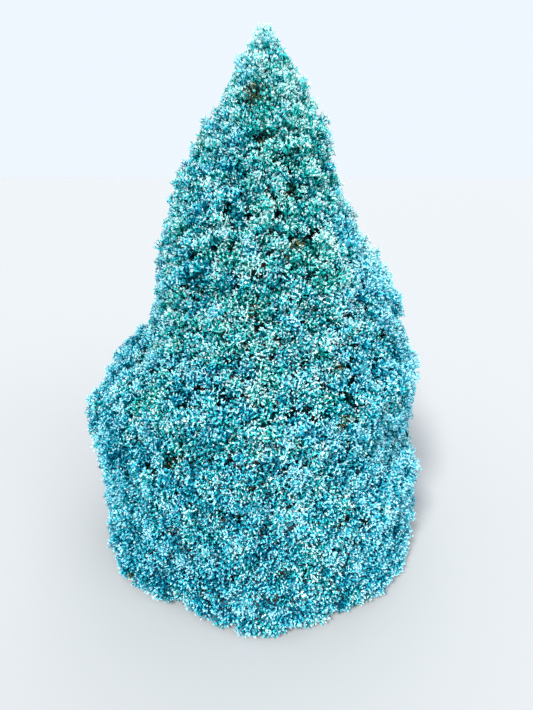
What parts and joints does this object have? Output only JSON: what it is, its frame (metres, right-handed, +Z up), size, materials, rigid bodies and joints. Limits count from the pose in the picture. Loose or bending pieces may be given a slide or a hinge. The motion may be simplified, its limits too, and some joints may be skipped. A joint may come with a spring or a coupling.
{
  "type": "sawara cypress",
  "caption": "Dense conical evergreen shrub, silver-blue and feathery, full to the ground, with boughs in tiers around one tapering trunk cut flat at ground level.",
  "frame": {"origin": "middle of the flat cut under the trunk, at ground level", "axes": "+Z straight up, -Y towards the side seen in the picture, +X to the right of that view"},
  "size_m": [1.4321, 1.4603, 1.968],
  "materials": {
    "trunk_bark": "rough, fibrous, reddish-brown bark in thin strips",
    "bough_bark": "rough, flaking reddish-brown bark",
    "foliage": "matt silver-blue to teal soft needles"
  },
  "bodies": {
    "root": {"trunk": "trunk_bark", "skirt_bough_1": "bough_bark", "skirt_foliage_1": "foliage", "skirt_bough_2": "bough_bark", "skirt_foliage_2": "foliage", "skirt_bough_3": "bough_bark", "skirt_foliage_3": "foliage", "skirt_bough_4": "bough_bark", "skirt_foliage_4": "foliage", "skirt_bough_5": "bough_bark", "skirt_foliage_5": "foliage", "skirt_bough_6": "bough_bark", "skirt_foliage_6": "foliage", "skirt_bough_7": "bough_bark", "skirt_foliage_7": "foliage", "skirt_bough_8": "bough_bark", "skirt_foliage_8": "foliage", "lower_bough_1": "bough_bark", "lower_foliage_1": "foliage", "lower_bough_2": "bough_bark", "lower_foliage_2": "foliage", "lower_bough_3": "bough_bark", "lower_foliage_3": "foliage", "lower_bough_4": "bough_bark", "lower_foliage_4": "foliage", "lower_bough_5": "bough_bark", "lower_foliage_5": "foliage", "lower_bough_6": "bough_bark", "lower_foliage_6": "foliage", "lower_bough_7": "bough_bark", "lower_foliage_7": "foliage", "lower_bough_8": "bough_bark", "lower_foliage_8": "foliage", "middle_bough_1": "bough_bark", "middle_foliage_1": "foliage", "middle_bough_2": "bough_bark", "middle_foliage_2": "foliage", "middle_bough_3": "bough_bark", "middle_foliage_3": "foliage", "middle_bough_4": "bough_bark", "middle_foliage_4": "foliage", "middle_bough_5": "bough_bark", "middle_foliage_5": "foliage", "middle_bough_6": "bough_bark", "middle_foliage_6": "foliage", "middle_bough_7": "bough_bark", "middle_foliage_7": "foliage", "upper_foliage_1": "foliage", "upper_foliage_2": "foliage", "upper_foliage_3": "foliage", "upper_foliage_4": "foliage", "upper_foliage_5": "foliage", "crest_foliage_1": "foliage", "crest_foliage_2": "foliage", "crest_foliage_3": "foliage", "leader_foliage": "foliage"}
  },
  "joints": []
}
